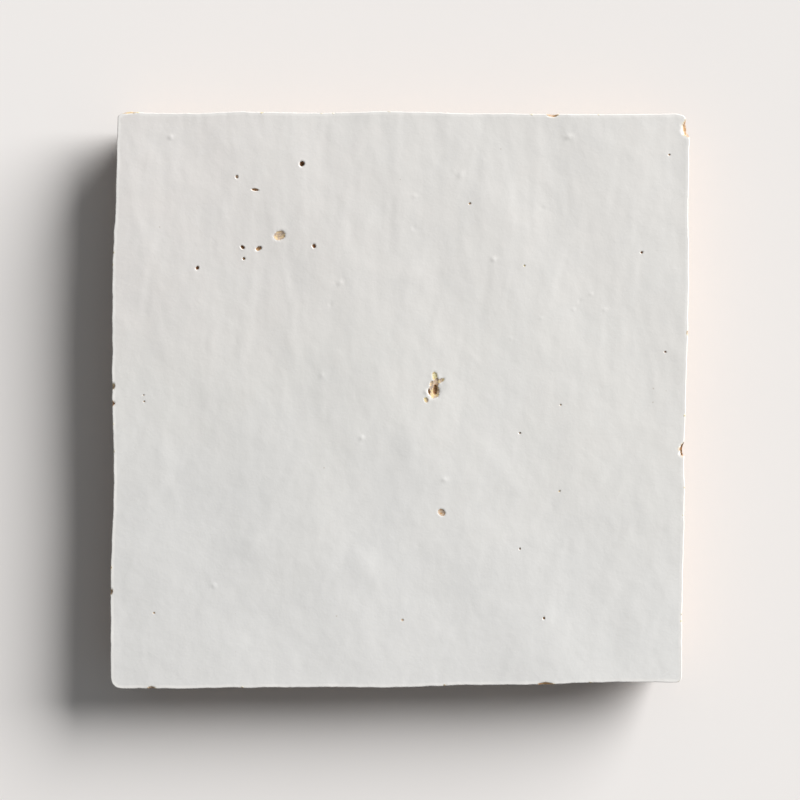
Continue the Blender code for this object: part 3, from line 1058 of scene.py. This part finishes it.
def glaze_relief():
    """A tree that lays ripples, mottling and marks on the coat."""
    inputs = {"Coat": "Geometry", "Marks": "Object", "Ripple": 0.14 * MM, "Mottle": 0.07 * MM}
    inputs.update({"Wobble": WOBBLE, "Ceiling": TOP, "Glaze": "Material"})
    tree, coat, marks, ripple, mottle, wobble, ceiling, glaze = new_group(
        "glaze_relief", "GeometryNodeTree", inputs, {"Coat": "Geometry"}
    )
    position = tree.out("GeometryNodeInputPosition")
    coat = tree.placed(struck_surface(), Surface=coat, Marks=marks, Wobble=wobble)
    x, y, _ = position.split()
    flat = tree.joined(x, y)
    upright = flat.stretched(3, 3.4).noise(4.6 * MM, distortion=0.6)
    slanting = flat.stretched(38, 2.6).noise(4.8 * MM, distortion=0.6)
    streak = tree.mixed(y.ranged(-18 * MM, 14 * MM), slanting, upright)
    swell = flat.noise(11 * MM, 1.0, 0.4)
    short = flat.stretched(8, 1.5).noise(2.3 * MM, 2.0, 0.55, 0.4)
    height = (streak - 0.5) * ripple + (swell - 0.5) * ripple + (short - 0.5) * mottle
    share = tree.named("share")
    lifted = tree.joined(z=(height - RELIEF_DROP) * share)
    offset = lifted + tree.named("swell", VECTOR) * share + tree.named("scoop", VECTOR)
    x, y, z = (position + offset).split()
    inputs = {"Geometry": coat, "Position": tree.joined(x, y, z.least(ceiling))}
    return tree.finished(tree.out("GeometryNodeSetPosition", inputs), glaze)


def clay_break():
    """A tree that breaks the clay's sides into hammered facets and roughens its bed."""
    inputs = {"Clay": "Geometry", "Marks": "Object", "Break": 0.4 * MM, "Grain": 0.2 * MM}
    inputs.update({"Wobble": WOBBLE, "Fired clay": "Material"})
    tree, clay, marks, depth, coarseness, wobble, fired = new_group(
        "clay_break", "GeometryNodeTree", inputs, {"Clay": "Geometry"}
    )
    position = tree.out("GeometryNodeInputPosition")
    clay = tree.placed(struck_surface(), Surface=clay, Marks=marks, Wobble=wobble)
    strayed = position + position.strays(3.0 * MM) * (2.4 * MM)
    edges = {"Smoothness": 0.10}
    facet = (strayed * (1.0, 1.0, 0.62)).cells(4.2 * MM, edges, feature="SMOOTH_F1")
    chip = strayed.cells(1.5 * MM, edges, feature="SMOOTH_F1")
    grain = position.noise(0.9 * MM, 3.0, 0.6)
    bite = facet.ranged(0.1, 0.8) * depth
    inward = (bite + (grain + chip * 0.6) * coarseness) * tree.named("broken")
    x, y, _ = tree.out("GeometryNodeInputNormal").split()
    pull = tree.joined(x, y).unit() * (inward * -1.0)
    pores = position.noise(3.4 * MM, 4.0, 0.6).ranged(0.52, 0.74)
    dent = tree.joined(z=pores * PORE_DEPTH * tree.named("bed"))
    # How deep a point lies in a hammer bite; the clay's colour paints shade there by it
    clay = tree.stored(clay, "recess", inward / (0.5 * MM))
    inputs = {"Geometry": clay, "Offset": pull + dent + tree.named("scoop", VECTOR)}
    return tree.finished(tree.out("GeometryNodeSetPosition", inputs), fired)


def shaped(name, mesh, tree, values):
    """The mesh after a geometry tree has worked on it, as a plain mesh in its own object."""
    piece = linked(name, mesh)
    modifier = piece.modifiers.new(tree.name, "NODES")
    modifier.node_group = tree
    for item in tree.interface.items_tree:
        if item.in_out == "INPUT" and item.name in values:
            modifier[item.identifier] = values[item.name]
    graph = bpy.context.evaluated_depsgraph_get()
    made = bpy.data.meshes.new_from_object(piece.evaluated_get(graph))
    piece.modifiers.clear()
    piece.data = made
    made.name = name
    bpy.data.meshes.remove(mesh)
    for extra in ("stray", "scoop", "swell", "share"):
        if extra in made.attributes:
            made.attributes.remove(made.attributes[extra])
    if not made.polygons:
        raise RuntimeError(name + " has no faces")
    return piece


# Shader groups and materials

# The clay that shows in pits and chips, from cream over tan and rust to black
BARE_STOPS = (
    (0.0, (0.800, 0.750, 0.620)),
    (0.15, (0.660, 0.570, 0.270)),
    (0.27, (0.680, 0.500, 0.300)),
    (0.38, (0.460, 0.370, 0.310)),
    (0.46, (0.520, 0.310, 0.150)),
    (0.52, (0.400, 0.250, 0.120)),
    (0.66, (0.300, 0.140, 0.060)),
    (0.84, (0.130, 0.065, 0.018)),
    (1.0, (0.020, 0.015, 0.007)),
)

# What shades the white: the thick coat, which also paints shade on the left, the lean coat, which also paints
# light on the lower right, its clouds and its grit
THICK_AND_PAINTED_SHADE = (0.12, 0.12, 0.11)
LEAN_AND_PAINTED_LIGHT = (0.88, 0.87, 0.84)
CLOUD_SHADE = (0.66, 0.655, 0.64)
GRIT_SHADE = (0.36, 0.29, 0.22)
CLOUD_STRAY = 30 * MM

# The sand in the clay
PALE_SAND = (0.70, 0.52, 0.34)
DARK_SAND = (0.12, 0.055, 0.03)

GLAZE_ROUGHNESS = 0.24
BARE_ROUGHNESS = 0.85
GLAZE_BUMP = 0.022 * MM
BARE_BUMP = 0.12 * MM
CLAY_BUMP = 0.26 * MM


@functools.cache
def firing_clouds():
    """Soft clouds of colour that the fire leaves, of a given size."""
    inputs = {"Vector": "Vector", "Size": 0.02, "Contrast": 1.0}
    tree, place, size, contrast = new_group("firing_clouds", "ShaderNodeTree", inputs, {"Cloud": "Float"})
    centred = place.noise(size, 3.0, 0.55, 0.4) - 0.5
    return tree.ends((centred * contrast + 0.5).ranged(0.0, 1.0))


@functools.cache
def kiln_grit():
    """Scattered specks of a given size and share, and a shade for each."""
    inputs = {"Vector": "Vector", "Size": 0.001, "Share": 0.1}
    outputs = {"Speck": "Float", "Shade": "Float"}
    tree, place, size, share = new_group("kiln_grit", "ShaderNodeTree", inputs, outputs)
    distance = (place + place.noise(0.3 * MM, 1.0, result="Color") * (0.16 * MM)).cells(size)
    chance, width, shade = distance.beside("Color").split()
    radius = width * 0.07 + 0.03
    dot = distance.ranged(radius * 0.5, radius, 1.0, 0.0)
    return tree.ends(dot * (chance < share), shade)


@functools.cache
def fine_relief():
    """Heights of a coarse and a fine roughness, of two given sizes."""
    inputs = {"Vector": "Vector", "Coarse": 0.001, "Fine": 0.0003, "Balance": 0.5}
    outputs = {"Height": "Float"}
    tree, place, coarse, fine, balance = new_group("fine_relief", "ShaderNodeTree", inputs, outputs)
    return tree.ends(tree.mixed(balance, place.noise(coarse), place.noise(fine)))


def new_material(name):
    """An empty material and its tree."""
    material = bpy.data.materials.new(name)
    material.use_nodes = True
    material.node_tree.nodes.clear()
    return material, Tree(material.node_tree)


def on_piece(tree):
    """The place on the piece, and a function that lays a group there."""
    place = tree.out("ShaderNodeTexCoord", None, "Object")
    return place, functools.partial(tree.placed, Vector=place)


def bare_clay(tree, tone):
    """The colour of bare clay for a tone."""
    node = tree.node("ShaderNodeValToRGB", {"Fac": tone})
    elements = node.color_ramp.elements
    while len(elements) < len(BARE_STOPS):
        elements.new(0.5)
    for element, (place, shade) in zip(elements, BARE_STOPS):
        element.position, element.color = place, (*shade, 1.0)
    return Term(tree, node.outputs["Color"])


def glaze_material(settings):
    """White glaze: clouded, thick with painted shade on the left, lean with painted light on the lower right,
    a painted highlight at the rim, finely dimpled and broken through at the pits.
    """
    material, tree = new_material("white_zellige_glaze")
    place, lay = on_piece(tree)
    small = lay(firing_clouds(), Size=0.006, Contrast=2.2)
    patchy = lay(firing_clouds(), Size=0.004, Contrast=3.0)
    stray = (lay(firing_clouds(), Size=0.030, Contrast=2.0) - 0.5) * CLOUD_STRAY
    x, y, _ = place.split()
    across, along = x + stray, y + stray

    # The face is darker to the left and paler to the lower right: partly a thicker and a leaner coat, partly
    # painted shade and painted light
    warmth = along.ranged(-6 * MM, 34 * MM) * across.ranged(-60 * MM, 20 * MM, 1.0, 0.3)
    thick_and_painted_shade = across.ranged(-24 * MM, 8 * MM, 1.0, 0.0) * along.ranged(28 * MM, 44 * MM, 1.0, 0.2)
    thick_and_painted_shade = thick_and_painted_shade * along.ranged(-44 * MM, -26 * MM, 0.3, 1.0)
    lean_and_painted_light = across.ranged(16 * MM, 44 * MM) * along.ranged(-36 * MM, -6 * MM, 1.0, 0.0)
    white = tree.mixed(along.ranged(-34 * MM, 6 * MM), settings.cool, settings.pale)
    for share, shade in ((warmth, settings.warm), (thick_and_painted_shade * 0.05, THICK_AND_PAINTED_SHADE), (lean_and_painted_light * 0.22, LEAN_AND_PAINTED_LIGHT)):
        white = tree.mixed(share, white, shade)
    white = tree.mixed(small * 0.5, white, tree.mixed(0.5, white, CLOUD_SHADE))
    grit = lay(kiln_grit(), Size=2.2 * MM, Share=0.07) * 0.4
    # The painted highlight along the rim: a paler, patchy white
    rim_highlight = tree.attribute("rim_highlight") * patchy.ranged(0.1, 0.9, 0.6, 1.0)
    thin = tree.attribute("thin") * patchy.ranged(0.0, 1.0, 0.75, 1.0)
    for share, shade in ((grit, GRIT_SHADE), (rim_highlight, settings.rim_highlight), (thin, settings.thin)):
        white = tree.mixed(share, white, shade)

    bare = tree.attribute("bare")
    stain = lay(firing_clouds(), Size=0.0006, Contrast=2.5).ranged(0.0, 1.0, -0.10, 0.10)
    smooth = small.ranged(0.0, 1.0, GLAZE_ROUGHNESS - 0.06, GLAZE_ROUGHNESS + 0.10)
    dimples = lay(fine_relief(), Coarse=0.9 * MM, Fine=0.42 * MM, Balance=0.4) * GLAZE_BUMP
    crumbs = lay(fine_relief(), Coarse=0.5 * MM, Fine=0.2 * MM, Balance=0.5) * BARE_BUMP
    looks = {
        "Base Color": tree.mixed(bare, white, bare_clay(tree, tree.attribute("tone") + stain)),
        "Roughness": tree.mixed(bare, smooth, BARE_ROUGHNESS),
        "Normal": tree.mixed(bare, dimples, crumbs).bump(),
        "IOR": 1.5,
    }
    tree.shaded(looks)
    return material


def clay_material(settings):
    """Fired clay: ochre where it broke, clouded browner by the fire, with painted shade in its hollows,
    gritty all over.
    """
    material, tree = new_material("hammered_fired_clay")
    _, lay = on_piece(tree)
    fine = lay(firing_clouds(), Size=0.0013, Contrast=2.4)
    clouds_and_hollow_shade = lay(firing_clouds(), Size=0.012, Contrast=2.6) * 0.45 + fine * 0.25
    # Painted shade: the deeper the hammer's bite, the browner the clay
    clouds_and_hollow_shade = clouds_and_hollow_shade + tree.attribute("recess").ranged(0.4, 1.2, -0.1, 0.35)
    clay = tree.mixed(clouds_and_hollow_shade, settings.ochre, settings.brown_and_hollow_shade)
    speck = lay(kiln_grit(), Size=2.4 * MM, Share=0.6)
    clay = tree.mixed(speck * 0.8, clay, tree.mixed(speck.beside("Shade"), PALE_SAND, DARK_SAND))
    clay = tree.mixed(tree.attribute("bare") * 0.7, clay, bare_clay(tree, tree.attribute("tone")))
    grain = lay(fine_relief(), Coarse=0.7 * MM, Fine=0.22 * MM, Balance=0.45) * CLAY_BUMP
    roughness = fine.ranged(0.0, 1.0, 0.82, 0.96)
    tree.shaded({"Base Color": clay, "Roughness": roughness, "Normal": grain.bump()})
    return material


def floor_material(settings):
    """A pale, matt studio floor."""
    material, tree = new_material("pale_studio_floor")
    tree.shaded({"Base Color": settings.floor, "Roughness": 0.95, "Specular IOR Level": 0.1})
    return material


# The coat's map: its width against the tile's half width, its share of the square, the corner that
# its back shrinks into, how near the edge its skirt is spread, and what counts as the back
MAP_WIDTH = 2.07
MAP_SHARE = 0.94
BACK_SHARE = 0.02
BACK_CORNER = 0.975
SPREAD_ZONE = 3.0 * MM
BACK_TILT = -0.2


def plain_map(mesh):
    """A flat map of the coat from above for baking, with its hidden back shrunk into a corner."""
    layer = mesh.uv_layers.new(name="OFBake")
    corners = np.zeros(len(mesh.vertices) * 3)
    mesh.vertices.foreach_get("co", corners)
    corners = corners.reshape(-1, 3)
    drop = np.clip(TOP - ROLL_RADIUS - corners[:, 2], 0, None)
    reach = np.maximum(np.abs(corners[:, 0]), np.abs(corners[:, 1]))
    at_edge = reach > HALF - SPREAD_ZONE
    spread = 1 + np.where(at_edge, drop / HALF, 0)
    flat = corners[:, :2] * spread[:, None]
    shown = flat / (HALF * MAP_WIDTH) * MAP_SHARE + MAP_SHARE / 2
    back = corners[:, :2] / HALF * BACK_SHARE + BACK_CORNER
    loops = np.zeros(len(mesh.loops), int)
    mesh.loops.foreach_get("vertex_index", loops)
    places = np.zeros((len(loops), 2))
    for face in mesh.polygons:
        hidden = face.normal.z < BACK_TILT
        for loop in face.loop_indices:
            places[loop] = back[loops[loop]] if hidden else shown[loops[loop]]
    layer.data.foreach_set("uv", places.ravel())


# The steps


class ZELLIGE_OT_make_coat(bpy.types.Operator):
    """Lay the white glaze on the face, over the arris and down to the glaze line"""

    bl_idname = "zellige.make_coat"
    bl_label = "Glaze Coat"

    def execute(self, context):
        settings = context.scene.zellige_glaze
        edge = read_edge(settings.line_drop, settings.line_wander)
        marks = mark_cloud("glaze_marks", face_marks(edge.height) + edge_marks(edge))
        values = {
            "Marks": marks,
            "Ripple": settings.ripple,
            "Mottle": settings.mottle,
            "Wobble": WOBBLE,
            "Ceiling": TOP,
            "Glaze": glaze_material(settings),
        }
        piece = shaped("glaze_coat", coat_mesh(edge), glaze_relief(), values)
        bpy.data.objects.remove(marks)
        plain_map(piece.data)
        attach(piece, BODY)
        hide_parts(NODE)
        return {"FINISHED"}


class ZELLIGE_OT_make_clay(bpy.types.Operator):
    """Break the fired clay of the sides and the bed to shape"""

    bl_idname = "zellige.make_clay"
    bl_label = "Clay Body"

    def execute(self, context):
        glaze, clay = context.scene.zellige_glaze, context.scene.zellige_clay
        edge = read_edge(glaze.line_drop, glaze.line_wander)
        marks = mark_cloud("clay_marks", edge_marks(edge)[: len(FLAKES)])
        values = {
            "Marks": marks,
            "Break": clay.break_height,
            "Grain": clay.grain_height,
            "Wobble": WOBBLE,
            "Fired clay": clay_material(clay),
        }
        piece = shaped("clay_body", clay_mesh(edge, glaze.lip), clay_break(), values)
        bpy.data.objects.remove(marks)
        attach(piece, BODY)
        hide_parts(NODE)
        return {"FINISHED"}


def lay_floor(settings):
    """The pale floor that the tile lies on."""
    mesh = bpy.data.meshes.new("studio_floor")
    corners = [(x * FLOOR_REACH, y * FLOOR_REACH, 0) for x, y in ((-1, -1), (1, -1), (1, 1), (-1, 1))]
    mesh.from_pydata(corners, [], [(0, 1, 2, 3)])
    mesh.materials.append(floor_material(settings))
    linked("studio_floor", mesh)


def hang_key(settings):
    """The soft low light, at a strength that keeps a level surface as bright from any height."""
    sun = bpy.data.lights.new("window_key", "SUN")
    sun.angle = settings.key_spread
    sun.energy = settings.key_share * math.pi / math.sin(settings.key_elevation)
    level, turn = math.cos(settings.key_elevation), settings.key_azimuth
    towards = Vector((level * math.cos(turn), level * math.sin(turn), math.sin(settings.key_elevation)))
    key = linked("window_key", sun)
    key.rotation_euler = towards.to_track_quat("Z", "Y").to_euler()
    key.location = towards * KEY_DISTANCE


def fill_air(settings):
    """The light from all round, which the camera and the glaze's gloss see as the floor's colour."""
    world = bpy.data.worlds.new("studio_air")
    world.use_nodes = True
    world.node_tree.nodes.clear()
    tree = Tree(world.node_tree)
    glossy = tree.out("ShaderNodeLightPath", None, "Is Glossy Ray")
    seen = glossy.beside("Is Camera Ray").most(glossy.most(glossy.beside("Is Transmission Ray")))
    dim = {"Color": settings.fill, "Strength": 1.0 - settings.key_share}
    lit = tree.out("ShaderNodeBackground", dim)
    shown = tree.out("ShaderNodeBackground", {"Color": settings.floor, "Strength": 1.0})
    both = tree.out("ShaderNodeMixShader", {0: seen, 1: lit, 2: shown})
    tree.node("ShaderNodeOutputWorld", {"Surface": both})
    bpy.context.scene.world = world


def set_camera(settings):
    """A long lens that looks straight down on the tile."""
    lens = bpy.data.cameras.new("camera")
    lens.lens = settings.lens
    width = (CAD_HIGH.x - CAD_LOW.x) / settings.tile_share
    centre = (CAD_LOW + CAD_HIGH) / 2
    camera = linked("camera", lens)
    camera.location = (centre.x, centre.y, TOP + width * settings.lens / lens.sensor_width)
    bpy.context.scene.camera = camera


class ZELLIGE_OT_make_stage(bpy.types.Operator):
    """Set the pale floor, the soft light and the camera that looks straight down"""

    bl_idname = "zellige.make_stage"
    bl_label = "Studio Stage"

    def execute(self, context):
        context.scene.view_settings.view_transform = "Standard"
        for step in (lay_floor, hang_key, fill_air, set_camera):
            step(context.scene.zellige_stage)
        return {"FINISHED"}


class ZELLIGE_PT_tile(bpy.types.Panel):
    """The steps that dress the tile, and their sizes and colours"""

    bl_idname = "ZELLIGE_PT_tile"
    bl_label = "Zellige Tile"
    bl_space_type = "VIEW_3D"
    bl_region_type = "UI"
    bl_category = "Zellige"

    def draw(self, context):
        for (name, kind), step in zip(SETTINGS.items(), STEPS):
            box = self.layout.box()
            for value in kind.__annotations__:
                box.prop(getattr(context.scene, name), value)
            box.operator(step.bl_idname)


SETTINGS = {"zellige_glaze": GlazeSettings, "zellige_clay": ClaySettings, "zellige_stage": StageSettings}
STEPS = (ZELLIGE_OT_make_coat, ZELLIGE_OT_make_clay, ZELLIGE_OT_make_stage)
CLASSES = (*SETTINGS.values(), *STEPS, ZELLIGE_PT_tile)


def register():
    for item in CLASSES:
        bpy.utils.register_class(item)
    for name, kind in SETTINGS.items():
        setattr(bpy.types.Scene, name, bpy.props.PointerProperty(type=kind))


def unregister():
    for name in SETTINGS:
        delattr(bpy.types.Scene, name)
    for item in reversed(CLASSES):
        bpy.utils.unregister_class(item)


def main():
    register()
    bpy.ops.zellige.make_coat()
    bpy.ops.zellige.make_clay()
    bpy.ops.zellige.make_stage()


if __name__ == "__main__":
    main()
